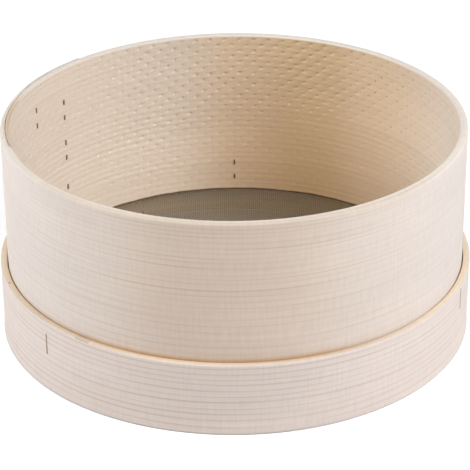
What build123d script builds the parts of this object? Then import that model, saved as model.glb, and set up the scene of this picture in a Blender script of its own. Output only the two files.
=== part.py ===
"""Drum sieve: a bentwood drum with wire cloth drawn over its lower edge and clamped by an outer hoop.

Millimetres. +Z is up, the origin is on the drum's axis at the height of the table, and -Y is the
front. Angles are counted anticlockwise from +X, seen from above.
"""

from build123d import *
from math import cos, degrees, radians, sin
import os

# Drum: the tall strip of bent wood
drum_radius = 125.0
drum_wall = 4.6
drum_height = 101.0
rim_rounding = 1.1
drum_foot_rounding = 0.6

# Clamping hoop: the low strip of bent wood round the foot of the drum
hoop_wall = 3.0
hoop_height = 40.5
hoop_top_rounding = 0.7
hoop_foot_rounding = 0.6

# Wire cloth: a flat sheet under the drum, and a margin turned up between drum and hoop.
# Each gap stands for many meshes of the weave, and the bars between carry the same steel.
wire_diameter = 0.3
cloth_recess = 15.7
cloth_gap = 11.2
cloth_pitch = 12.7
cloth_border = 1.5
margin_drop = 4.0
margin_bend = 0.8
margin_clearance = 0.3

# Lap of each strip: its thinned ends lie over each other, with a fine seam between them. The seam
# bows outwards by a share of the wall, so the outer end stays thin for the first half of the lap.
drum_lap_angles = (136.0, 195.0)
hoop_lap_angles = (107.5, 125.5)
lap_tip = 0.8
lap_seam = 0.15
lap_bow_share = 0.16

# Staples: flat wire, driven flush from outside and clinched inside with the tips turned to each other
crown_length = 12.5
staple_width = 1.0
staple_thickness = 0.6
staple_bend = 0.35
tip_length = 3.0
tip_bed = 0.2
staple_clearance = 0.05
drum_lap_staple_angle = 144.0
drum_lap_staple_height_shares = (0.22, 0.5, 0.75)
rim_lap_staple_angle = 157.0
rim_lap_staple_height_share = 0.805
hoop_lap_staple_angle = 116.5
hoop_lap_staple_height_shares = (0.22, 0.73)
clamp_staple_angles = (90.0, 220.5, 338.5)
clamp_staple_height_shares = (0.57, 0.47, 0.65)

# How far a cut runs past the surface that it opens
overrun = 2.0

# Radii and heights that follow from the sizes above
cloth_thickness = 2 * wire_diameter
drum_foot = cloth_recess + cloth_thickness
drum_inner_radius = drum_radius - drum_wall
margin_inner_radius = drum_radius + margin_clearance
margin_outer_radius = margin_inner_radius + cloth_thickness
margin_top = hoop_height - margin_drop
hoop_inner_radius = margin_outer_radius + margin_clearance
hoop_radius = hoop_inner_radius + hoop_wall
clamped_height = hoop_height - drum_foot


def polar(radius, angle):
    """A point of the plan."""
    return (radius * cos(radians(angle)), radius * sin(radians(angle)))


def bent_strip(outer_radius, wall, foot, height, top_rounding, foot_rounding):
    """A ring of bent wood with its long edges eased."""
    with BuildSketch(Plane.XZ) as section:
        with Locations((outer_radius - wall, foot)):
            Rectangle(wall, height, align=(Align.MIN, Align.MIN))
        foot_corners, top_corners = vertices().group_by(Axis.Y)
        fillet(top_corners, top_rounding)
        fillet(foot_corners, foot_rounding)
    revolve(section.sketch, axis=Axis.Z)


def lap_cut(outer_radius, wall, foot, height, lap_angles):
    """The seam between the two ends of a strip: it slants from the outer face to the inner face."""
    start, end = lap_angles
    middle = (start + end) / 2
    inner_radius = outer_radius - wall
    middle_radius = outer_radius - wall / 2 + lap_bow_share * wall
    before_start = start - degrees(lap_seam / outer_radius)
    after_end = end + degrees(lap_seam / inner_radius)
    outer_end = polar(outer_radius - lap_tip, start)
    inner_end = polar(inner_radius + lap_tip, end)
    under_outer_end = polar(outer_radius - lap_tip - lap_seam, before_start)
    over_inner_end = polar(inner_radius + lap_tip + lap_seam, after_end)
    with BuildSketch(Plane.XY.offset(foot - overrun)) as seam:
        with BuildLine():
            ThreePointArc(outer_end, polar(middle_radius + lap_seam / 2, middle), over_inner_end)
            Polyline(
                over_inner_end,
                polar(inner_radius - overrun, after_end),
                polar(inner_radius - overrun, end),
                inner_end,
            )
            ThreePointArc(inner_end, polar(middle_radius - lap_seam / 2, middle), under_outer_end)
            Polyline(
                under_outer_end,
                polar(outer_radius + overrun, before_start),
                polar(outer_radius + overrun, start),
                outer_end,
            )
        make_face()
    extrude(seam.sketch, amount=height + 2 * overrun, mode=Mode.SUBTRACT)


def staple(angle, height, outer_face, inner_face, bed, room=0.0, mode=Mode.ADD):
    """One staple through the wood between two faces, or with room round it the hole that it makes."""
    radial_plane = Plane(
        origin=(0, 0, height),
        x_dir=(cos(radians(angle)), sin(radians(angle)), 0),
        z_dir=(sin(radians(angle)), -cos(radians(angle)), 0),
    )
    half_crown = crown_length / 2
    tip_face = inner_face + bed - staple_thickness
    with BuildSketch(radial_plane) as outline:
        with BuildLine():
            Polyline(
                (outer_face, 0),
                (outer_face, half_crown),
                (tip_face, half_crown),
                (tip_face, half_crown - tip_length),
                (tip_face + staple_thickness, half_crown - tip_length),
                (tip_face + staple_thickness, half_crown - staple_thickness),
                (outer_face - staple_thickness, half_crown - staple_thickness),
                (outer_face - staple_thickness, 0),
            )
            mirror(about=Plane.XZ)
        make_face()
        by_height = vertices().group_by(Axis.Y)
        fillet(by_height[0] + by_height[-1], staple_bend)
        if room:
            offset(amount=room, kind=Kind.INTERSECTION)
    extrude(outline.sketch, amount=staple_width / 2 + room, both=True, mode=mode)


def drum_lap_staple_group(**cut):
    """The staples that hold the two ends of the drum's strip together: a column, and one by the rim."""
    places = [(drum_lap_staple_angle, share) for share in drum_lap_staple_height_shares]
    places.append((rim_lap_staple_angle, rim_lap_staple_height_share))
    for angle, share in places:
        height = drum_foot + share * drum_height
        staple(angle, height, drum_radius, drum_inner_radius, tip_bed, **cut)


def hoop_lap_staple_group(**cut):
    """The staples that hold the two ends of the hoop's strip together, flush on both faces."""
    for share in hoop_lap_staple_height_shares:
        height = share * hoop_height
        staple(hoop_lap_staple_angle, height, hoop_radius, hoop_inner_radius, staple_thickness, **cut)


def clamp_staple_group(**cut):
    """The staples that go through hoop, cloth margin and drum."""
    for angle, share in zip(clamp_staple_angles, clamp_staple_height_shares):
        height = drum_foot + share * clamped_height
        staple(angle, height, hoop_radius, drum_inner_radius, tip_bed, **cut)


hole = {"room": staple_clearance, "mode": Mode.SUBTRACT}

# Drum shell
with BuildPart() as drum_shell:
    bent_strip(drum_radius, drum_wall, drum_foot, drum_height, rim_rounding, drum_foot_rounding)
    lap_cut(drum_radius, drum_wall, drum_foot, drum_height, drum_lap_angles)
    drum_lap_staple_group(**hole)
    clamp_staple_group(**hole)

# Clamping hoop
with BuildPart() as clamp_hoop:
    bent_strip(hoop_radius, hoop_wall, 0, hoop_height, hoop_top_rounding, hoop_foot_rounding)
    lap_cut(hoop_radius, hoop_wall, 0, hoop_height, hoop_lap_angles)
    hoop_lap_staple_group(**hole)
    clamp_staple_group(**hole)

# Wire cloth: the tray's border and margin are one turned piece, and the net fills the tray's middle
net_radius = drum_inner_radius - cloth_border
gaps_across = 2 * int(net_radius / cloth_pitch) + 1
gap_grid = GridLocations(cloth_pitch, cloth_pitch, gaps_across, gaps_across)
gap_places = [place for place in gap_grid if place.position.length < net_radius + cloth_gap / 5]
print("gaps in the wire cloth:", len(gap_places))
with BuildPart() as wire_cloth:
    with BuildSketch(Plane.XZ):
        with BuildLine():
            Polyline(
                (net_radius, cloth_recess),
                (margin_outer_radius, cloth_recess),
                (margin_outer_radius, margin_top),
                (margin_inner_radius, margin_top),
                (margin_inner_radius, drum_foot),
                (net_radius, drum_foot),
                close=True,
            )
        make_face()
        outer_fold = vertices().group_by(Axis.Y)[0].sort_by(Axis.X)[-1]
        fillet(outer_fold, margin_bend)
    revolve(axis=Axis.Z)
    clamp_staple_group(**hole)
    with BuildSketch(Plane.XY.offset(cloth_recess)):
        Circle(net_radius)
        with Locations(*gap_places):
            Rectangle(cloth_gap, cloth_gap, mode=Mode.SUBTRACT)
    extrude(amount=cloth_thickness, clean=False)

# Staples
with BuildPart() as drum_lap_staples:
    drum_lap_staple_group()
with BuildPart() as hoop_lap_staples:
    hoop_lap_staple_group()
with BuildPart() as clamp_staples:
    clamp_staple_group()

pieces = {
    "drum_shell": drum_shell,
    "clamp_hoop": clamp_hoop,
    "wire_cloth": wire_cloth,
    "drum_lap_staples": drum_lap_staples,
    "hoop_lap_staples": hoop_lap_staples,
    "clamp_staples": clamp_staples,
}
os.makedirs("parts", exist_ok=True)
for name, piece in pieces.items():
    piece.part.label = name
    export_step(piece.part, f"parts/{name}.step")
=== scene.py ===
"""The looks of the drum sieve: bent wood with its embossed inside, woven wire cloth and dull staples.

Metres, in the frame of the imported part. Angles are in degrees, anticlockwise from +X, seen from
above. Along a strip of wood they run on past 360, from the outer end of its lap once round to the
inner end, so the middle of the drum's front is at 270 and the middle of its back at 450. A strip
carries its own coordinates as a mesh attribute: the way along the strip, the depth from its outer
face and the height.
"""

import bpy
import numpy as np
from mathutils import Matrix, Vector


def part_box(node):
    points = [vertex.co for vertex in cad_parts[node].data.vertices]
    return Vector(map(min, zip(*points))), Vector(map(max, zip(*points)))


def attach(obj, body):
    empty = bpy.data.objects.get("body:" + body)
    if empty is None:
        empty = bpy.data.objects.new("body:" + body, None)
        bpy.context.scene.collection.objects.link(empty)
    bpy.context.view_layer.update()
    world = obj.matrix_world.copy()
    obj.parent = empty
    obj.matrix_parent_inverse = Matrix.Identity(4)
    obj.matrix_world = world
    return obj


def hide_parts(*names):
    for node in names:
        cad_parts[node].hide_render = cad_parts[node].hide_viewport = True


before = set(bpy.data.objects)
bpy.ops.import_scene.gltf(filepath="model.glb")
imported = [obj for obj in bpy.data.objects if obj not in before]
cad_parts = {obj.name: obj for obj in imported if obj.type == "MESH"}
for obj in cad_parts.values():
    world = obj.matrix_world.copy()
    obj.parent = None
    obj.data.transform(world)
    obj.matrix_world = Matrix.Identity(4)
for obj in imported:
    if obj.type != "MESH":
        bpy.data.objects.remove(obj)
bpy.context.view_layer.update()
mm = 0.001
chance = np.random.default_rng(seed=7)

# Sizes that the frame gives
drum_low, drum_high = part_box("drum_shell")
hoop_low, hoop_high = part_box("clamp_hoop")
cloth_low, cloth_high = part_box("wire_cloth")
drum_radius = drum_high.x
drum_foot = drum_low.z
rim_top = drum_high.z
hoop_radius = hoop_high.x
hoop_foot = hoop_low.z
hoop_top = hoop_high.z
cloth_under = cloth_low.z
margin_outer_radius = cloth_high.x
margin_top = cloth_high.z

# Sizes of the strips. The wood's faces lie a hair under the crowns of the staples, and the hoop's
# inner face leans towards the drum above the cloth's margin.
drum_wall = 4.6 * mm
hoop_wall = 3.0 * mm
drum_lap = (136.0, 195.0)
hoop_lap = (107.5, 125.5)
lap_tip = 0.8 * mm
lap_seam = 0.15 * mm
lap_bow_share = 0.16
rim_rounding = 1.1 * mm
hoop_top_rounding = 0.7 * mm
foot_rounding = 0.6 * mm
rounding_limit_share = 0.45
crown_proud = 0.06 * mm
hoop_lip = 0.8 * mm
lip_rise = 2 * mm

# Faint ripples of the inner faces
ripple_depth = 0.04 * mm
ripple_turn = 7
ripple_height = 16 * mm
ripple_seeds = (11, 12)

# Steps of the strips' meshes. Each row of the drum's inner face holds one row of marks.
station_spacing = 2.05
lap_step = 0.01
mark_rows = 28
hoop_rows = 30
corner_turns = np.radians([30, 60, 90])
outer_face_shares = np.array([0, 0.01, 0.2, 0.4, 0.6, 0.8, 0.99, 1])

# Embossed marks of the drum's inside: staggered, slanting pits. Each is made of rings that shrink
# to a point. A ring has its scale, its shift along the pit and its share of the depth.
mark_half_length = 1.75 * mm
mark_half_width = 1.05 * mm
mark_depth = 0.5 * mm
mark_slant = 28
mark_corners = 10
mark_rings = [(1.0, 0.0, 0.0), (0.64, 0.12, 0.55), (0.3, 0.3, 1.0)]
mark_point = (0.0, 0.38, 1.1)
# Where along a pit its painted shade, on the steep far end, turns into a painted highlight on the gentle
# slope
painted_light_middle = 0.1

# How far chance takes the marks from each other
size_shares = (0.88, 1.1)
slant_stray = 7
place_stray = 0.18 * mm
depth_shares = (0.6, 1.15)
# How much painted shade each mark gets, by chance
painted_shade_shares = (0.2, 1.6)

# Broad patches of marks that are pressed more or less deep
patch_turn = 23
patch_height = 21 * mm
patch_row_shift = 9
patch_seeds = (3, 4)
patch_least = 0.75
patch_gain = 0.4

# Where the marks change, as angles and heights. Two values run from no change to the full one, and
# four run back to none as well.
towards_foot = (drum_foot + 40 * mm, drum_foot + 4 * mm)
low_down = (86 * mm, 62 * mm)
high_up = (62 * mm, 86 * mm)
worn_turns = (392, 412, 452, 476)
left_turns = (472, 505)
right_turns = (430, 395)
upper_right_turns = (384, 402, 410, 428)
away_from_right = (402, 445)
painted_highlight_fade_turns = (470, 495)

# How much of their depth and their painted highlight the marks lose there, and how much painted shade they
# get
foot_loss = 0.45
worn_loss = 0.5
left_loss = 0.55
right_loss = 0.65
painted_highlight_loss = 0.4
right_painted_shade = 3.0
back_painted_shade = 0.8
upper_right_painted_shade = 2.6

# Sizes of the woven cloth
wire_radius = 0.15 * mm
wire_pitch = 1.25 * mm
wire_corners = np.radians([90, 210, 330])
cloth_middle = cloth_under + 2 * wire_radius
margin_radius = margin_outer_radius - 2 * wire_radius

# Two small flaws in the hoop's top edge: a pin knot and a short split
knot_turn = 198.6
split_turns = (230.2, 234.8)
split_height = 40.3 * mm

# The white floor. Outside the hoop's foot the background's rays see it lifted by a share, which
# grows to white with the way from the middle.
floor_half = 3.0
foot_line = (hoop_radius - 0.2 * mm, hoop_radius + 0.9 * mm)
white_ways = (1.0, 2.2)
near_lift = 0.5

# The soft lamps, each with its turn round the sieve, its climb above it, watts and colour
lamp_distance = 1.8
lamp_size = 0.9
lamps = {
    "lamp_right_front": (330, 38, 24.4, (0.97, 1.0, 1.04)),
    "lamp_left": (184, 27, 24.4, (0.97, 1.0, 1.04)),
    "lamp_right": (0, 40, 4.6, (0.96, 1.0, 1.06)),
    "lamp_front": (262, 40, 4.5, (1.0, 0.91, 0.76)),
}
world_level = 0.02

# The photograph's camera
camera_place = Vector((0.0, -0.97089, 0.54935))
camera_pitch = 0.4775
camera_roll = -0.0084
camera_lens = 151.65
sensor_width = 36.0
nearest_seen = 0.01


def smooth_step(low, high, value):
    """From 0 at low to 1 at high, without corners."""
    share = np.clip((value - low) / (high - low), 0, 1)
    return share * share * (3 - 2 * share)


def smooth_window(start, full, ease, end, value):
    """From 0 at start to 1 at full, and from 1 at ease back to 0 at end."""
    return smooth_step(start, full, value) * smooth_step(end, ease, value)


def smooth_noise(values, period, seed):
    """Smooth random values from -1 to 1 along a line, one knot every period."""
    knot_count = 4096
    knots = np.random.default_rng(seed).uniform(-1, 1, knot_count)
    place = np.asarray(values) / period
    left = np.floor(place).astype(int)
    share = place - left
    share = share * share * (3 - 2 * share)
    return knots[left % knot_count] * (1 - share) + knots[(left + 1) % knot_count] * share


def add_object(name, data):
    """A new object in the scene."""
    thing = bpy.data.objects.new(name, data)
    bpy.context.scene.collection.objects.link(thing)
    return thing


def add_mesh(name, points, face_sets):
    """A smooth object from an array of points and arrays of faces."""
    faces = [face for face_set in face_sets for face in face_set.tolist()]
    mesh = bpy.data.meshes.new(name)
    mesh.from_pydata(points.tolist(), [], faces)
    mesh.update()
    mesh.shade_smooth()
    return add_object(name, mesh)


def set_attribute(thing, name, values):
    """Three numbers for each point of a mesh, which its material reads."""
    layer = thing.data.attributes.new(name, "FLOAT_VECTOR", "POINT")
    layer.data.foreach_set("vector", np.asarray(values, dtype=np.float32).ravel())


def around(angles, radii, heights):
    """Points of the frame from angles, radii and heights."""
    turns = np.radians(angles)
    return np.stack([radii * np.cos(turns), radii * np.sin(turns), heights + 0 * radii], -1)


class Strip:
    """A bent strip of wood whose thinned ends lap over each other.

    Its stations follow the strip from the outer end of the lap, once round, to the inner end. Each
    station is one loop of section points: up the outer face, over the top, down the inner face and
    under the foot. The columns hold the stations whose inner face shows, one by one, but for the
    close pair at the step of the outer end, which shares a column.
    """

    def __init__(self, outer_radius, wall, low, high, lap, top_rounding, rows):
        self.outer_radius = outer_radius
        self.inner_radius = outer_radius - wall
        self.low = low
        self.high = high
        self.lap = lap
        self.row_count = rows
        self.place_stations()
        self.shape_sections(top_rounding)

    def place_stations(self):
        """Angles along the strip, with a pair of stations at each step of a lap's end."""
        start, end = self.lap
        inner_step = end + np.degrees(lap_seam / self.inner_radius)
        outer_step = 360 + start - np.degrees(lap_seam / self.outer_radius)
        lap_count = round((end - start) / station_spacing)
        round_count = 2 * round((outer_step - inner_step) / station_spacing / 2)
        hidden = np.linspace(start, inner_step, lap_count + 1)
        round_about = np.linspace(inner_step + lap_step, outer_step - lap_step, round_count + 1)
        lapped = np.linspace(outer_step, 360 + end, lap_count + 1)
        self.angles = np.concatenate([hidden, round_about, lapped])
        self.thin_ends(inner_step, outer_step, lap_count)
        first = lap_count + 1
        before_step = first + round_count
        self.columns = [[station] for station in range(first, before_step)]
        self.columns.append([before_step, before_step + 1])
        self.columns += [[station] for station in range(before_step + 2, len(self.angles))]

    def thin_ends(self, inner_step, outer_step, lap_count):
        """Radii of the two faces at each station. The seam between the lapped ends bows outwards."""
        start, end = self.lap
        thin_outer = [self.outer_radius, self.outer_radius, self.outer_radius - lap_tip - lap_seam,
                      self.inner_radius + lap_tip]
        thin_inner = [self.outer_radius - lap_tip, self.inner_radius + lap_tip + lap_seam,
                      self.inner_radius, self.inner_radius]
        outer_turns = [start, outer_step - lap_step, outer_step, 360 + end]
        inner_turns = [start, inner_step, inner_step + lap_step, 360 + end]
        self.outer = np.interp(self.angles, outer_turns, thin_outer)
        self.inner = np.interp(self.angles, inner_turns, thin_inner)
        lap_share = np.linspace(0, 1, lap_count + 1)
        bow = 4 * lap_bow_share * (self.outer_radius - self.inner_radius) * lap_share * (1 - lap_share)
        self.inner[:lap_count + 1] += bow
        self.outer[-lap_count - 1:] += bow

    def shape_sections(self, top_rounding):
        """Radii, heights and edge weights of all section points, by station and place in the loop."""
        outer = self.outer[:, None]
        inner = self.inner[:, None]
        top = np.minimum(top_rounding, rounding_limit_share * (outer - inner))
        foot = np.minimum(foot_rounding, rounding_limit_share * (outer - inner))
        up_cos, up_sin = np.cos(corner_turns)[None], np.sin(corner_turns)[None]
        down_cos, down_sin = up_cos[:, ::-1], up_sin[:, ::-1]
        outer_low = self.low + foot
        outer_high = self.high - top
        outer_heights = outer_low + (outer_high - outer_low) * outer_face_shares[None]
        inner_heights = np.linspace(self.high - top_rounding, self.low + foot_rounding,
                                    self.row_count + 1)[None]
        blocks = [
            (outer + 0 * outer_heights, outer_heights, 0),
            (outer - top + top * up_cos, self.high - top + top * up_sin, 1),
            (inner + top - top * down_cos, self.high - top + top * down_sin, 1),
            (inner + 0 * inner_heights, inner_heights + 0 * inner, 0),
            (inner + foot - foot * up_cos, self.low + foot - foot * up_sin, 1),
            (outer - foot + foot * down_cos, self.low + foot - foot * down_sin, 1),
        ]
        self.radii = np.concatenate([block[0] for block in blocks], 1)
        self.heights = np.concatenate([block[1] for block in blocks], 1)
        self.edge = np.concatenate([np.full(block[0].shape, block[2]) for block in blocks], 1)
        self.inner_first = sum(block[0].shape[1] for block in blocks[:3])
        self.inside = np.zeros_like(self.edge)
        self.inside[:, self.inner_first:self.inner_first + self.row_count + 1] = 1

    def draw_in(self, lip, low, high):
        """Lets the inner face lean inwards above a height, except under the lap."""
        inner_side = np.zeros_like(self.radii)
        inner_side[:, self.inner_first - len(corner_turns):self.inner_first + self.row_count + 1] = 1
        inner_side[self.inner > self.inner_radius + lap_seam / 2] = 0
        self.radii -= lip * smooth_step(low, high, self.heights) * inner_side

    def index(self, station, place):
        """The number of a section point."""
        return station * self.radii.shape[1] + place % self.radii.shape[1]

    def plain_faces(self, open_cells):
        """Four-sided faces between all stations, but not where a mark's cell lies, and two end caps."""
        station, place = np.meshgrid(
            np.arange(len(self.angles) - 1), np.arange(self.radii.shape[1]), indexing="ij"
        )
        keep = np.array([(s, p) not in open_cells for s, p in zip(station.ravel(), place.ravel())])
        station, place = station.ravel()[keep], place.ravel()[keep]
        sides = np.stack([
            self.index(station, place),
            self.index(station + 1, place),
            self.index(station + 1, place + 1),
            self.index(station, place + 1),
        ], -1)
        loop = np.arange(self.radii.shape[1])
        start_cap = self.index(0, loop)[None]
        end_cap = self.index(len(self.angles) - 1, loop)[None, ::-1]
        return [sides, start_cap, end_cap]


class Mark:
    """One pressed pit. Chance and its place on the drum give its size, slant, depth and its painted light
    and shade.
    """

    def __init__(self, angle, height, row):
        self.angle = angle
        self.height = height
        self.size = chance.uniform(*size_shares)
        self.slant = np.radians(mark_slant + chance.uniform(-slant_stray, slant_stray))
        self.middle = chance.uniform(-place_stray, place_stray, 2)
        pressed = mark_depth * chance.uniform(*depth_shares) * self.patch_share(row)
        pressed *= 1 - foot_loss * smooth_step(*towards_foot, height)
        pressed *= 1 - worn_loss * smooth_window(*worn_turns, angle) * smooth_step(*low_down, height)
        self.strength = pressed / mark_depth
        at_left = left_loss * smooth_step(*left_turns, angle)
        at_right = right_loss * smooth_step(*right_turns, angle)
        self.depth = pressed * (1 - at_left - at_right)
        # The painted highlight fades out towards the right and partly at the left. The painted shade is
        # strongest at the right and at the upper right.
        off_right = smooth_step(*away_from_right, angle)
        self.painted_highlight = off_right * (1 - painted_highlight_loss * smooth_step(*painted_highlight_fade_turns, angle))
        painted_shade = right_painted_shade + (back_painted_shade - right_painted_shade) * off_right
        upper_right = smooth_window(*upper_right_turns, angle) * smooth_step(*high_up, height)
        painted_shade += upper_right_painted_shade * upper_right
        self.painted_shade = chance.uniform(*painted_shade_shares) * painted_shade

    def patch_share(self, row):
        """Broad patches of the drum have deeper or shallower marks."""
        along = smooth_noise(self.angle + patch_row_shift * row, patch_turn, patch_seeds[0])
        up = smooth_noise(self.height, patch_height, patch_seeds[1])
        return patch_least + patch_gain * (1 + along * up) / 2

    def spread(self, along, across, radius):
        """Angles and heights of points that are given along and across the pit, in its half sizes."""
        along = mark_half_length * along * self.size
        across = mark_half_width * across * self.size
        right = self.middle[0] + along * np.cos(self.slant) - across * np.sin(self.slant)
        up = self.middle[1] + along * np.sin(self.slant) + across * np.cos(self.slant)
        return self.angle - np.degrees(right / radius), self.height + up

    def shade(self, along, share):
        """The pit's painted light: above 0 a painted shade where it looks darker than the wood, below 0 a
        painted highlight where it looks lighter.
        """
        shade = share * (along - painted_light_middle)
        shade = np.where(shade > 0, shade * self.painted_shade, shade * self.painted_highlight)
        return shade * self.strength


def pit_points():
    """The points of a pit with half sizes of 1: how far along and across, and the share of the depth."""
    turns = np.linspace(0, 2 * np.pi, mark_corners, endpoint=False)
    along, across, shares = [], [], []
    for scale, shift, share in [*mark_rings, mark_point]:
        ring = turns if scale else turns[:1]
        along.append(shift + scale * np.cos(ring))
        across.append(scale * np.sin(ring))
        shares.append(np.full(len(ring), share))
    return np.concatenate(along), np.concatenate(across), np.concatenate(shares)


def pit_faces():
    """Faces of a pit: four-sided ones between its rings, and triangles round its point."""
    here = np.arange(mark_corners)
    there = (here + 1) % mark_corners
    faces = []
    for ring in range(len(mark_rings) - 1):
        near = ring * mark_corners
        far = near + mark_corners
        faces.append(np.stack([near + here, near + there, far + there, far + here], -1))
    last = (len(mark_rings) - 1) * mark_corners
    point = np.full(mark_corners, last + mark_corners)
    faces.append(np.stack([last + here, last + there, point], -1))
    return faces


def direction_at(turns, step, base):
    """The direction of a step along a loop of directions, counted up from a base, round after round."""
    whole, rest = divmod(step, len(turns))
    return base + (turns[rest] - base) % (2 * np.pi) + 2 * np.pi * whole


def stitch(outside, inside):
    """Triangles between two loops round one middle, given the directions of their points in turn."""
    triangles = []
    outer_count, inner_count = len(outside), len(inside)
    nearest = int(np.argmin([abs(np.angle(np.exp(1j * (turn - outside[0])))) for turn in inside]))
    inside = np.roll(inside, -nearest)
    head_start = 0.5
    base = min(outside[0], inside[0]) - head_start
    outer_at, inner_at = 0, 0
    while outer_at < outer_count or inner_at < inner_count:
        next_outer = direction_at(outside, outer_at + 1, base)
        next_inner = direction_at(inside, inner_at + 1, base)
        outer_now = outer_at % outer_count
        inner_now = (inner_at + nearest) % inner_count
        if inner_at == inner_count or (outer_at < outer_count and next_outer <= next_inner):
            outer_at += 1
            triangles.append((outer_now, outer_at % outer_count, outer_count + inner_now))
        else:
            inner_at += 1
            inner_next = (inner_at + nearest) % inner_count
            triangles.append((outer_count + inner_now, outer_now, outer_count + inner_next))
    return np.array(triangles)


def collar(corners, mark, radius):
    """Triangles between the corners of a mark's cell and the pit's outer ring."""
    turns_off = np.radians(mark.angle) - np.arctan2(corners[:, 1], corners[:, 0])
    right = np.angle(np.exp(1j * turns_off)) * radius
    corner_directions = np.arctan2(corners[:, 2] - mark.height, right)
    ring_directions = np.linspace(0, 2 * np.pi, mark_corners, endpoint=False) + np.radians(mark_slant)
    return stitch(corner_directions, ring_directions)


def mark_cells(strip):
    """Cells of the inner face that hold one mark each: the stations that they span, and their row."""
    cells = []
    last_column = len(strip.columns) - 1
    for row in range(strip.row_count):
        for left in range(row % 2, last_column - 1, 2):
            stations = [strip.columns[left][-1], *strip.columns[left + 1], strip.columns[left + 2][0]]
            cells.append((stations, row))
    return cells


def press_marks(strip, points, places, kinds):
    """Adds the pits to the points of the drum, and gives their faces. Each lies in its own cell."""
    along, across, share = pit_points()
    faces_of_pit = pit_faces()
    collars = {}
    faces = []
    new_points, new_places, new_kinds = [points], [places], [kinds]
    next_index = len(points)
    for stations, row in mark_cells(strip):
        place = strip.inner_first + row
        upper = [strip.index(station, place) for station in stations]
        lower = [strip.index(station, place + 1) for station in reversed(stations)]
        boundary = np.array(upper + lower)
        angle = (strip.angles[stations[0]] + strip.angles[stations[-1]]) / 2
        height = (strip.heights[stations[0], place] + strip.heights[stations[0], place + 1]) / 2
        mark = Mark(angle, height, row)
        turned, heights = mark.spread(along, across, strip.inner_radius)
        pressed = mark.depth * share
        along_strip = np.radians(turned) * strip.outer_radius
        from_outside = strip.outer_radius - strip.inner_radius - pressed
        new_points.append(around(turned, strip.inner_radius + pressed, heights))
        new_places.append(np.stack([along_strip, from_outside, heights], -1))
        # The third number of each pit point is its painted shade (above 0) or painted highlight (below 0)
        new_kinds.append(np.stack([np.ones_like(share), 0 * share, mark.shade(along, share)], -1))
        if len(stations) not in collars:
            collars[len(stations)] = collar(points[boundary], mark, strip.inner_radius)
        numbers = np.concatenate([boundary, next_index + np.arange(len(share))])
        faces.append(numbers[collars[len(stations)]])
        faces += [next_index + face_set for face_set in faces_of_pit]
        next_index += len(share)
    return np.concatenate(new_points), np.concatenate(new_places), np.concatenate(new_kinds), faces


def bent_strip(name, outer_radius, wall, low, high, lap, top_rounding, rows, lip=0.0, embossed=False):
    """A strip of wood as one closed mesh, with the coordinates that its material reads."""
    strip = Strip(outer_radius - crown_proud, wall - crown_proud, low, high, lap, top_rounding, rows)
    strip.draw_in(lip, margin_top, margin_top + lip_rise)
    waves = smooth_noise(strip.angles, ripple_turn, ripple_seeds[0])[:, None]
    waves = waves * smooth_noise(strip.heights, ripple_height, ripple_seeds[1])
    radii = strip.radii + strip.inside * (ripple_depth * (1 + waves))
    points = around(strip.angles[:, None], radii, strip.heights).reshape(-1, 3)
    along = np.radians(strip.angles)[:, None] * strip.outer_radius + 0 * radii
    places = np.stack([along, strip.outer_radius - radii, strip.heights], -1).reshape(-1, 3)
    kinds = np.stack([strip.inside, strip.edge, 0 * radii], -1).reshape(-1, 3)
    open_cells = set()
    mark_faces = []
    if embossed:
        for stations, row in mark_cells(strip):
            for station in range(stations[0], stations[-1]):
                open_cells.add((station, strip.inner_first + row))
        points, places, kinds, mark_faces = press_marks(strip, points, places, kinds)
    thing = add_mesh(name, points, strip.plain_faces(open_cells) + mark_faces)
    set_attribute(thing, "strip", places)
    set_attribute(thing, "kind", kinds)
    return thing


def wire_tubes(name, paths, sides, upright=False):
    """Three-sided wires as one mesh. Each path is an array of points, with its sideways direction."""
    points, faces = [], []
    count = 0
    corner_count = len(wire_corners)
    corner = np.arange(corner_count)
    follow = (corner + 1) % corner_count
    for path, side in zip(paths, sides):
        rings = len(path)
        side = np.broadcast_to(side, path.shape)
        out = np.cross([0, 0, 1], side) if upright else np.broadcast_to([0, 0, 1], path.shape)
        ring = side[:, None] * np.cos(wire_corners)[None, :, None] * wire_radius
        ring = ring + out[:, None] * np.sin(wire_corners)[None, :, None] * wire_radius
        points.append((path[:, None] + ring).reshape(-1, 3))
        near = count + corner_count * np.arange(rings - 1)[:, None]
        far = near + corner_count
        quads = [near + corner, near + follow, far + follow, far + corner]
        faces.append(np.stack(quads, -1).reshape(-1, 4))
        last = count + corner_count * (rings - 1)
        faces.append(np.array([count + corner[::-1], last + corner]))
        count += corner_count * rings
    return add_mesh(name, np.concatenate(points), faces)


def over_and_under(crossings):
    """How far a wire's middle lies off the cloth's, which changes sides at every crossing."""
    return np.where(crossings % 2, 1, -1) * wire_radius


def woven_cloth():
    """The flat cloth: wires from left to right and from front to back, over and under each other."""
    reach = margin_radius - wire_radius
    count = int(reach / wire_pitch)
    made = []
    for name, turned in (("cloth_weft", False), ("cloth_warp", True)):
        paths, sides = [], []
        for row in range(-count, count + 1):
            offset = row * wire_pitch
            half = int(np.sqrt(reach**2 - offset**2) / wire_pitch)
            crossings = np.arange(-half, half + 1)
            if len(crossings) < 2:
                continue
            along = crossings * wire_pitch
            across = np.full(len(along), offset)
            flat = [across, along] if turned else [along, across]
            paths.append(np.stack(flat + [cloth_middle + over_and_under(crossings + row + turned)], -1))
            sides.append(np.array([-1.0, 0, 0]) if turned else np.array([0, 1.0, 0]))
        made.append(wire_tubes(name, paths, sides))
    return made


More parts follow.
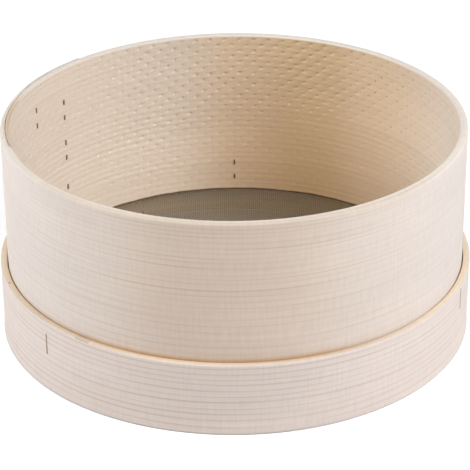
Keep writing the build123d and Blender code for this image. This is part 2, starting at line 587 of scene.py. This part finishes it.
def cloth_margin():
    """The cloth's turned-up margin: upright wires from the fold to the top edge, and wires round."""
    upright_count = int(2 * np.pi * margin_radius / wire_pitch / 2) * 2
    row_count = int((margin_top - cloth_middle) / wire_pitch)
    rows = cloth_middle + wire_pitch * np.arange(row_count + 1)
    paths, sides = [], []
    for number in range(upright_count):
        angle = 360 * number / upright_count
        over = over_and_under(np.arange(len(rows)) + number)
        paths.append(around(angle + 0 * rows, margin_radius + over, rows))
        sides.append(np.array([-np.sin(np.radians(angle)), np.cos(np.radians(angle)), 0]))
    uprights = wire_tubes("cloth_margin_uprights", paths, sides, upright=True)
    angles = 360 * np.arange(upright_count + 1) / upright_count
    over = over_and_under(np.arange(len(angles)) + 1)
    paths, sides = [], []
    for row in rows[1::2]:
        paths.append(around(angles, margin_radius + over, row + 0 * angles))
        sides.append(around(angles, -np.ones(len(angles)), 0))
    rounds = wire_tubes("cloth_margin_rounds", paths, sides)
    return [uprights, rounds]


def rgb(red, green, blue):
    """A colour written as it looks on screen, from 0 to 255, made linear by the sRGB curve."""
    screen = np.array([red, green, blue]) / 255
    linear = np.where(screen <= 0.04045, screen / 12.92, ((screen + 0.055) / 1.055) ** 2.4)
    return (*linear.tolist(), 1.0)


class Recipe:
    """The nodes of one material. A value is a number, a colour or the output of another node."""

    # The sockets of a Mix node that hold its share and its colours
    mix_share = 0
    mix_first = 6
    mix_second = 7
    mix_result = 2

    def __init__(self, name):
        self.material = bpy.data.materials.new(name)
        self.material.use_nodes = True
        self.tree = self.material.node_tree
        self.shader = self.tree.nodes["Principled BSDF"]

    def feed(self, socket, value):
        """Links an output to a socket, or sets the socket."""
        if isinstance(value, bpy.types.NodeSocket):
            self.tree.links.new(value, socket)
        else:
            socket.default_value = value

    def set(self, name, value):
        """Feeds a socket of the shader."""
        self.feed(self.shader.inputs[name], value)

    def math(self, operation, *values):
        """One step of arithmetic."""
        node = self.tree.nodes.new("ShaderNodeMath")
        node.operation = operation
        for socket, value in zip(node.inputs, values):
            self.feed(socket, value)
        return node.outputs["Value"]

    def total(self, *values):
        """The sum of several values."""
        result = values[0]
        for value in values[1:]:
            result = self.math("ADD", result, value)
        return result

    def product(self, *values):
        """The product of several values."""
        result = values[0]
        for value in values[1:]:
            result = self.math("MULTIPLY", result, value)
        return result

    def swing(self, value, amount):
        """A noise value turned into a change from minus to plus the amount, about."""
        return self.math("MULTIPLY_ADD", value, 4 * amount, -2 * amount)

    def rise(self, low, high, value):
        """From 0 at low to 1 at high, without corners."""
        node = self.tree.nodes.new("ShaderNodeMapRange")
        node.interpolation_type = "SMOOTHSTEP"
        self.feed(node.inputs["Value"], value)
        self.feed(node.inputs["From Min"], low)
        self.feed(node.inputs["From Max"], high)
        return node.outputs["Result"]

    def fall(self, low, high, value):
        """From 1 at low to 0 at high, without corners."""
        return self.math("SUBTRACT", 1, self.rise(low, high, value))

    def band(self, start, full, ease, end, value):
        """From 0 at start to 1 at full, and from 1 at ease back to 0 at end."""
        return self.product(self.rise(start, full, value), self.fall(ease, end, value))

    def mix(self, share, first, second):
        """A colour between two colours."""
        node = self.tree.nodes.new("ShaderNodeMix")
        node.data_type = "RGBA"
        self.feed(node.inputs[self.mix_share], share)
        self.feed(node.inputs[self.mix_first], first)
        self.feed(node.inputs[self.mix_second], second)
        return node.outputs[self.mix_result]

    def tint(self, colour, factor):
        """A colour made lighter or darker by a factor."""
        node = self.tree.nodes.new("ShaderNodeVectorMath")
        node.operation = "SCALE"
        self.feed(node.inputs[0], colour[:3] if isinstance(colour, tuple) else colour)
        self.feed(node.inputs["Scale"], factor)
        return node.outputs[0]

    def attribute(self, name):
        """Three numbers that the mesh carries."""
        node = self.tree.nodes.new("ShaderNodeAttribute")
        node.attribute_name = name
        return node.outputs["Vector"]

    def position(self):
        """The place on the piece, which moves with it."""
        return self.tree.nodes.new("ShaderNodeTexCoord").outputs["Object"]

    def stretch(self, place, *factors):
        """A place with its three numbers scaled."""
        node = self.tree.nodes.new("ShaderNodeVectorMath")
        node.operation = "MULTIPLY"
        self.feed(node.inputs[0], place)
        self.feed(node.inputs[1], factors)
        return node.outputs[0]

    def in_mm(self, place):
        """A place in millimetres."""
        return self.stretch(place, 1 / mm, 1 / mm, 1 / mm)

    def split(self, vector):
        """The three numbers of a vector."""
        node = self.tree.nodes.new("ShaderNodeSeparateXYZ")
        self.feed(node.inputs[0], vector)
        return node.outputs

    def noise(self, place, detail=2.0, roughness=0.5):
        """Noise from 0 to 1."""
        node = self.tree.nodes.new("ShaderNodeTexNoise")
        self.feed(node.inputs["Vector"], place)
        self.feed(node.inputs["Scale"], 1.0)
        self.feed(node.inputs["Detail"], detail)
        self.feed(node.inputs["Roughness"], roughness)
        return node.outputs["Fac"]

    def speckles(self, place, waves):
        """Noise with so many waves per millimetre each way."""
        return self.noise(self.stretch(place, waves, waves, waves))

    def bump(self, height):
        """Fine relief, its height in metres."""
        node = self.tree.nodes.new("ShaderNodeBump")
        self.feed(node.inputs["Distance"], 1.0)
        self.feed(node.inputs["Height"], height)
        self.set("Normal", node.outputs["Normal"])


class Wood(Recipe):
    """Planed pale softwood on a bent strip. Lengths are in millimetres, turns in degrees.

    The first growth ring starts at the height ring_low. The rings are so wide there, so narrow at
    the top and spread over so much height, as ring_widths says.
    """

    def __init__(self, name, radius, foot, top, pale, late_colour, late_share, ring_low, ring_widths):
        super().__init__(name)
        self.place = self.in_mm(self.attribute("strip"))
        self.along, self.depth, self.height = self.split(self.place)
        # The third number of kind is the painted shade and painted highlight of the embossed pits
        self.inside, self.edge, self.pit = self.split(self.attribute("kind"))
        self.outside = self.math("SUBTRACT", 1.0, self.inside)
        upper_half = self.math("GREATER_THAN", self.height, (foot + top) / mm / 2)
        self.top_edge = self.product(self.edge, upper_half)
        self.turn = self.math("DIVIDE", self.along, np.radians(1) * radius / mm)
        self.late = self.growth_rings(ring_low, *ring_widths)
        self.colour = self.mix(self.product(self.late, late_share), pale, late_colour)
        self.grain()

    def streaks(self, along, depth, height, detail=1.0, roughness=0.5):
        """Noise with so many waves per millimetre along the strip, into it and up it."""
        return self.noise(self.stretch(self.place, along, depth, height), detail, roughness)

    def within(self, start, full, ease, end, *limits):
        """1 on a stretch of the strip between two turns, eased at both ends, where the limits allow."""
        return self.product(self.band(start, full, ease, end, self.turn), *limits)

    def growth_rings(self, ring_low, wide, narrow, span):
        """Late wood as thin darker lines along the strip. The rings narrow from the foot to the top."""
        always_above = 40
        late_shares = (0.55, 0.86, 0.9, 1.0)
        wander = self.swing(self.streaks(along=0.006, depth=0.0, height=0.03), 0.7)
        crowding = self.swing(self.streaks(along=0.003, depth=0.0, height=0.16), 0.7)
        level = self.total(self.height, self.product(self.depth, 0.4), wander, crowding)
        above = self.math("SUBTRACT", level, ring_low)
        quicken = (1 / narrow - 1 / wide) / (2 * span)
        count = self.product(above, self.math("MULTIPLY_ADD", above, quicken, 1 / wide))
        ring = self.math("FRACT", self.math("ADD", count, always_above))
        late = self.band(*late_shares, ring)
        uneven = self.streaks(along=0.01, depth=0.1, height=0.45, detail=2.0)
        return self.product(late, self.rise(0.25, 0.75, uneven))

    def grain(self):
        """Fibres and lines along the strip, threads across its outside, patches and specks."""
        fibre = self.streaks(along=0.035, depth=0.8, height=2.4, detail=3.0, roughness=0.6)
        lines = self.streaks(along=0.009, depth=0.3, height=0.95)
        threads = self.streaks(along=0.7, depth=0.2, height=0.08, detail=2.0)
        patches = self.streaks(along=0.012, depth=0.1, height=0.035)
        specks = self.rise(0.66, 0.78, self.streaks(along=0.25, depth=1.0, height=3.0))
        fewer_inside = self.math("MULTIPLY_ADD", self.inside, -0.7, 1.0)
        across = self.product(self.swing(threads, 0.04), fewer_inside)
        self.shade = self.total(1.0, self.swing(fibre, 0.02), self.swing(lines, 0.036), across,
                                self.swing(patches, 0.03), self.product(specks, -0.04))
        self.relief = self.total(self.product(self.late, -0.006 * mm), self.swing(fibre, 0.005 * mm),
                                 self.swing(threads, 0.01 * mm))

    def blend(self, where, colour, strength=1.0):
        """Moves the colour towards another one, by the strength where the first value is 1."""
        self.colour = self.mix(self.product(where, strength), self.colour, colour)

    def lighten(self, where, amount):
        """Makes the wood lighter, or darker by an amount below zero, where the first value is 1."""
        self.shade = self.product(self.shade, self.math("MULTIPLY_ADD", where, amount, 1.0))

    def finished(self):
        """The material, with all that was gathered fed to its shader."""
        self.set("Base Color", self.tint(self.colour, self.shade))
        self.set("Roughness", self.math("ADD", 0.66, self.swing(self.noise(self.place), 0.04)))
        self.set("Specular IOR Level", 0.4)
        self.bump(self.relief)
        return self.material


# Painted warm shade in the gap between drum and hoop, from the left round to the front right
painted_gap_shade_colour = rgb(220, 188, 150)
painted_gap_shade_turns = (285, 312)


def draw_row_lines(wood):
    """Faint darker lines between the rows of marks, in patches at the back and at the left."""
    row_top = (rim_top - rim_rounding) / mm
    row_pitch = (row_top - (drum_foot + foot_rounding) / mm) / mark_rows
    row_place = wood.math("DIVIDE", wood.math("SUBTRACT", row_top, wood.height), row_pitch)
    between_rows = wood.math("COSINE", wood.product(row_place, 2 * np.pi))
    patchy = wood.rise(0.3, 0.6, wood.streaks(along=0.03, depth=0.0, height=0.2))
    lined = wood.within(392, 412, 500, 530, wood.inside, patchy)
    stronger_low = wood.math("MULTIPLY_ADD", wood.fall(60, 85, wood.height), 1.0, 0.6)
    wood.lighten(wood.product(between_rows, lined, stronger_low), -0.03)


def colour_drum_inside(wood):
    """Paler wood with a painted golden bounce light at the back, which painted light makes lighter low down
    and painted shade darker high up, and its marks.
    """
    paler = wood.mix(wood.product(wood.late, 0.13), rgb(235, 219, 202), rgb(206, 172, 132))
    wood.blend(wood.inside, paler)
    # Painted golden bounce light on the back of the inside, deepest a little right of its middle
    painted_bounce_back = wood.within(368, 412, 443, 470, wood.inside)
    wood.blend(painted_bounce_back, rgb(234, 198, 151), strength=0.6)
    painted_deep_bounce_back = wood.within(411, 424, 431, 444, wood.inside)
    wood.blend(painted_deep_bounce_back, rgb(226, 192, 136), strength=0.35)
    # Painted shade high up at the back
    high = wood.rise(60, 95, wood.height)
    painted_shade_high_back = wood.within(406, 424, 436, 456, high, wood.inside)
    wood.lighten(painted_shade_high_back, -0.1)
    # Painted light low down at the back
    low = wood.fall(36, 66, wood.height)
    painted_light_low_back = wood.within(395, 425, 462, 495, low, wood.inside)
    wood.lighten(painted_light_low_back, 0.09)
    draw_row_lines(wood)
    # Painted shade and painted highlight on the pits
    wood.lighten(wood.pit, -0.17)


def colour_drum_outside(wood):
    """A front warmed by painted bounce light, sides paled by a painted sheen, painted light at the front
    left, fainter lines at the right, and painted brown shade just above the hoop and in the gap below its
    top.
    """
    # Painted warm bounce light on the front, warmest high up
    front = wood.within(235, 258, 275, 305, wood.outside)
    high = wood.rise(45, 95, wood.height)
    wood.blend(wood.product(front, high), rgb(216, 188, 156), strength=0.32)
    low = wood.fall(60, 95, wood.height)
    wood.blend(wood.product(front, low), rgb(218, 195, 176), strength=0.5)
    wood.lighten(wood.product(front, wood.late), -0.06)
    # A painted pale sheen on the sides
    wide_front = wood.within(215, 245, 300, 330)
    sides = wood.product(wood.math("SUBTRACT", 1.0, wide_front), wood.outside)
    wood.blend(sides, rgb(222, 212, 206), strength=0.42)
    # Painted light on the front left
    painted_light_front_left = wood.within(224, 240, 241, 257, wood.outside)
    wood.lighten(painted_light_front_left, 0.04)
    # Painted warm shade just above the hoop's top, at the front, where the hoop meets the drum
    above_hoop = wood.math("SUBTRACT", wood.height, hoop_top / mm)
    near_hoop = wood.fall(0.3, 2.4, above_hoop)
    painted_shade_above_hoop = wood.product(near_hoop, wood.within(215, 245, 285, 310), wood.outside)
    wood.blend(painted_shade_above_hoop, rgb(216, 180, 138), strength=0.65)
    # Painted warm shade on the drum in the gap below the hoop's top
    below_hoop_top = wood.fall(-0.4, 0.3, above_hoop)
    painted_gap_shade = wood.product(below_hoop_top, wood.fall(*painted_gap_shade_turns, wood.turn), wood.outside)
    wood.blend(painted_gap_shade, painted_gap_shade_colour)
    late_right = wood.product(wood.late, wood.rise(290, 315, wood.turn), wood.outside)
    wood.lighten(late_right, 0.06)


def colour_drum_edges(wood):
    """A paler rim with painted warm shade on its outer half in front, painted shade at its lap's ends, and a
    painted dark shade line at the foot.
    """
    rim = wood.top_edge
    wood.blend(rim, rgb(246, 234, 218), strength=0.6)
    # Painted warm shade on the rim's outer half in front
    front = wood.within(205, 235, 310, 335)
    painted_shade_outer_rim = wood.product(rim, front, wood.fall(1.3, 2.4, wood.depth))
    wood.blend(painted_shade_outer_rim, rgb(228, 203, 181), strength=0.5)
    wood.lighten(painted_shade_outer_rim, -0.08)
    # Painted shade on the rim along the seam at the lap's outer end
    painted_shade_outer_end = wood.fall(152, 168, wood.turn)
    wood.blend(wood.product(rim, painted_shade_outer_end), rgb(176, 168, 160), strength=0.6)
    # Painted shade on the rim at the lap's inner end, where the wall steps back
    painted_shade_inner_end = wood.rise(520, 534, wood.turn)
    wood.blend(wood.product(rim, painted_shade_inner_end), rgb(206, 176, 136), strength=0.7)
    # A painted dark shade line along the foot of the inner face, just above the cloth
    uneven_foot = wood.swing(wood.streaks(along=0.05, depth=0.0, height=0.0), 0.35)
    above_foot = wood.total(wood.height, -drum_foot / mm, uneven_foot)
    painted_shade_at_foot = wood.product(wood.rise(2.0, 3.0, wood.depth), wood.fall(0.9, 1.4, above_foot))
    wood.blend(painted_shade_at_foot, rgb(98, 72, 46), strength=0.85)


def drum_wood():
    """The drum's strip: fine rings outside, pressed marks inside, a paler rim."""
    wood = Wood("drum_wood", drum_radius - crown_proud, drum_foot, rim_top,
                pale=rgb(222, 208, 197), late_colour=rgb(196, 164, 130), late_share=0.4,
                ring_low=49.4, ring_widths=(4.15, 2.55, 63.0))
    colour_drum_inside(wood)
    colour_drum_outside(wood)
    colour_drum_edges(wood)
    return wood.finished()


def colour_hoop_edges(wood):
    """A cream top edge with painted light at the sides and painted shade in front, painted brown shade
    towards the drum and in the gap, fainter lines, and a painted grey shade at the foot.
    """
    front = wood.within(205, 245, 300, 335)
    # Painted light on the top edge at the sides, painted shade on it in front
    painted_light_top = wood.product(wood.top_edge, wood.rise(0.5, 0.9, wood.depth))
    wood.blend(painted_light_top, wood.mix(front, rgb(248, 227, 190), rgb(224, 201, 172)), strength=0.6)
    # Painted brown shade on the top edge towards the drum, and on the inner face in the gap near the top
    painted_shade_front = wood.within(205, 245, *painted_gap_shade_turns)
    painted_shade_towards_drum = wood.product(wood.top_edge, painted_shade_front, wood.rise(1.7, 2.2, wood.depth), 0.5)
    near_top = wood.rise(32, 38, wood.height)
    painted_gap_shade = wood.product(wood.inside, near_top, wood.fall(*painted_gap_shade_turns, wood.turn))
    wood.blend(wood.math("MAXIMUM", painted_gap_shade, painted_shade_towards_drum), painted_gap_shade_colour)
    late_right = wood.product(wood.late, wood.rise(290, 325, wood.turn))
    wood.lighten(late_right, 0.06)
    # Painted grey contact shade at the hoop's foot
    foot = wood.product(wood.edge, wood.fall(0.1, 0.7, wood.height))
    wood.blend(foot, rgb(142, 130, 124), strength=0.4)


def colour_hoop_flaws(wood):
    """The pin knot and the short split in the hoop's top edge."""
    along_knot = wood.math("SUBTRACT", wood.along, np.radians(knot_turn) * hoop_radius / mm)
    across_knot = wood.math("SUBTRACT", wood.depth, hoop_wall / mm / 2)
    squares = wood.total(wood.product(along_knot, along_knot), wood.product(across_knot, across_knot))
    knot = wood.product(wood.fall(0.3, 0.9, wood.math("SQRT", squares)), wood.top_edge)
    wood.blend(knot, rgb(96, 74, 52), strength=0.75)
    split_low, split_high = split_turns
    split_ease = 0.4
    from_split = wood.math("ABSOLUTE", wood.math("SUBTRACT", wood.height, split_height / mm))
    split = wood.within(split_low, split_low + split_ease, split_high - split_ease, split_high,
                        wood.fall(0.1, 0.25, from_split))
    wood.blend(split, rgb(126, 96, 66), strength=0.45)


def hoop_wood():
    """The hoop's strip: wider and clearer rings."""
    wood = Wood("hoop_wood", hoop_radius - crown_proud, hoop_foot, hoop_top,
                pale=rgb(225, 211, 202), late_colour=rgb(186, 160, 140), late_share=0.52,
                ring_low=5.4, ring_widths=(3.6, 3.2, 35.0))
    colour_hoop_edges(wood)
    colour_hoop_flaws(wood)
    return wood.finished()


def cloth_steel():
    """Dull drawn wire with a warm cast, olive in a wavy band behind the middle."""
    recipe = Recipe("cloth_steel")
    place = recipe.in_mm(recipe.position())
    patches = recipe.speckles(place, 0.02)
    drawn = recipe.speckles(place, 0.9)
    shade = recipe.total(1.0, recipe.swing(patches, 0.08), recipe.swing(drawn, 0.1))
    bend = recipe.swing(recipe.noise(recipe.stretch(place, 0.02, 0.0, 0.0), detail=1.0), 5.0)
    deep = recipe.total(recipe.split(place)["Y"], bend)
    olive = recipe.band(78, 90, 104, 114, deep)
    colour = recipe.mix(olive, rgb(168, 152, 130), rgb(169, 151, 114))
    recipe.set("Base Color", recipe.tint(colour, shade))
    recipe.set("Metallic", 1.0)
    recipe.set("Roughness", recipe.math("ADD", 0.48, recipe.swing(drawn, 0.08)))
    recipe.bump(recipe.swing(drawn, 0.01 * mm))
    return recipe.material


def staple_steel():
    """Drawn staple wire, dull grey with a few dark spots."""
    recipe = Recipe("staple_steel")
    place = recipe.in_mm(recipe.position())
    drawn = recipe.noise(recipe.stretch(place, 4.0, 4.0, 0.3), detail=3.0)
    spots = recipe.rise(0.55, 0.7, recipe.speckles(place, 1.2))
    colour = recipe.mix(recipe.product(spots, 0.6), rgb(150, 126, 106), rgb(104, 84, 70))
    recipe.set("Base Color", recipe.tint(colour, recipe.total(1.0, recipe.swing(drawn, 0.12))))
    recipe.set("Metallic", 0.6)
    recipe.set("Roughness", recipe.math("ADD", 0.55, recipe.swing(drawn, 0.08)))
    recipe.bump(recipe.swing(drawn, 0.01 * mm))
    return recipe.material


def dress(piece, material):
    """Gives a piece its one material."""
    piece.data.materials.clear()
    piece.data.materials.append(material)


def background_rays(tree):
    """1 for the rays that show the background: seen directly, in a reflection or through glass."""
    light_path = tree.nodes.new("ShaderNodeLightPath")
    seen = light_path.outputs["Is Camera Ray"]
    for kind in ("Is Glossy Ray", "Is Transmission Ray"):
        either = tree.nodes.new("ShaderNodeMath")
        either.operation = "MAXIMUM"
        tree.links.new(seen, either.inputs[0])
        tree.links.new(light_path.outputs[kind], either.inputs[1])
        seen = either.outputs[0]
    return seen


def floor_white():
    """The floor's material, with a warmer grey painted shade under the cloth."""
    recipe = Recipe("floor")
    recipe.set("Roughness", 0.9)
    recipe.set("Emission Color", (1, 1, 1, 1))
    across, deep, height = recipe.split(recipe.position())
    from_axis = recipe.math("SQRT", recipe.total(recipe.product(across, across), recipe.product(deep, deep)))
    # Painted shade on the floor under the cloth
    painted_shade_under_cloth = recipe.fall(hoop_radius - 2 * hoop_wall, hoop_radius - hoop_wall, from_axis)
    recipe.set("Base Color", recipe.mix(painted_shade_under_cloth, rgb(231, 231, 231), rgb(214, 210, 207)))
    outside = recipe.rise(*foot_line, from_axis)
    lift = recipe.math("MULTIPLY_ADD", recipe.rise(*white_ways, from_axis), 1 - near_lift, near_lift)
    recipe.set("Emission Strength", recipe.product(background_rays(recipe.tree), outside, lift))
    return recipe.material


def pale_floor():
    """A white floor that keeps the sieve's shadow."""
    corners = [(-floor_half, -floor_half, 0), (floor_half, -floor_half, 0),
               (floor_half, floor_half, 0), (-floor_half, floor_half, 0)]
    mesh = bpy.data.meshes.new("floor")
    mesh.from_pydata(corners, [], [(0, 1, 2, 3)])
    floor = add_object("floor", mesh)
    dress(floor, floor_white())


def soft_lamp(name, turn, climb, watts, colour):
    """A square soft light at a turn round the sieve and a climb above it, in degrees."""
    aim = Vector((0, 0, rim_top / 2))
    turn, climb = np.radians(turn), np.radians(climb)
    direction = Vector((np.cos(turn) * np.cos(climb), np.sin(turn) * np.cos(climb), np.sin(climb)))
    lamp = bpy.data.lights.new(name, "AREA")
    lamp.shape = "SQUARE"
    lamp.size = lamp_size
    lamp.energy = watts
    lamp.color = colour
    thing = add_object(name, lamp)
    thing.location = aim + lamp_distance * direction
    thing.rotation_euler = (-direction).to_track_quat("-Z", "Y").to_euler()


def studio_world(level):
    """Even light from all round, and white where the camera or a reflection looks past the floor."""
    world = bpy.data.worlds.new("studio")
    world.use_nodes = True
    tree = world.node_tree
    background = tree.nodes["Background"]
    background.inputs["Color"].default_value = (1, 1, 1, 1)
    strength = tree.nodes.new("ShaderNodeMath")
    strength.operation = "MULTIPLY_ADD"
    tree.links.new(background_rays(tree), strength.inputs[0])
    strength.inputs[1].default_value = 1 - level
    strength.inputs[2].default_value = level
    tree.links.new(strength.outputs[0], background.inputs["Strength"])
    bpy.context.scene.world = world


def photograph_camera():
    """The camera at the photograph's place and angle."""
    data = bpy.data.cameras.new("camera")
    data.lens = camera_lens
    data.sensor_width = sensor_width
    data.clip_start = nearest_seen
    camera = add_object("camera", data)
    forward = Vector((0, np.cos(camera_pitch), -np.sin(camera_pitch)))
    level = Vector((1, 0, 0))
    above = level.cross(forward)
    right = np.cos(camera_roll) * level + np.sin(camera_roll) * above
    up = np.cos(camera_roll) * above - np.sin(camera_roll) * level
    turn = Matrix((right, up, -forward)).transposed().to_4x4()
    camera.matrix_world = Matrix.Translation(camera_place) @ turn
    bpy.context.scene.camera = camera


# The pieces of the object
drum = bent_strip("drum", drum_radius, drum_wall, drum_foot, rim_top, drum_lap, rim_rounding,
                  mark_rows, embossed=True)
hoop = bent_strip("hoop", hoop_radius, hoop_wall, hoop_foot, hoop_top, hoop_lap, hoop_top_rounding,
                  hoop_rows, lip=hoop_lip)
cloth = woven_cloth() + cloth_margin()
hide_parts("drum_shell")
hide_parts("clamp_hoop")
for piece in cloth:
    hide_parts("wire_cloth")
for piece in [drum, hoop, *cloth]:
    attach(piece, "root")

dress(drum, drum_wood())
dress(hoop, hoop_wood())
woven_steel = cloth_steel()
for piece in cloth:
    dress(piece, woven_steel)
dull_steel = staple_steel()
for node in ("drum_lap_staples", "hoop_lap_staples", "clamp_staples"):
    dress(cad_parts[node], dull_steel)

# The studio
pale_floor()
for name, lamp in lamps.items():
    soft_lamp(name, *lamp)
studio_world(world_level)
photograph_camera()
bpy.context.scene.view_settings.view_transform = "Standard"
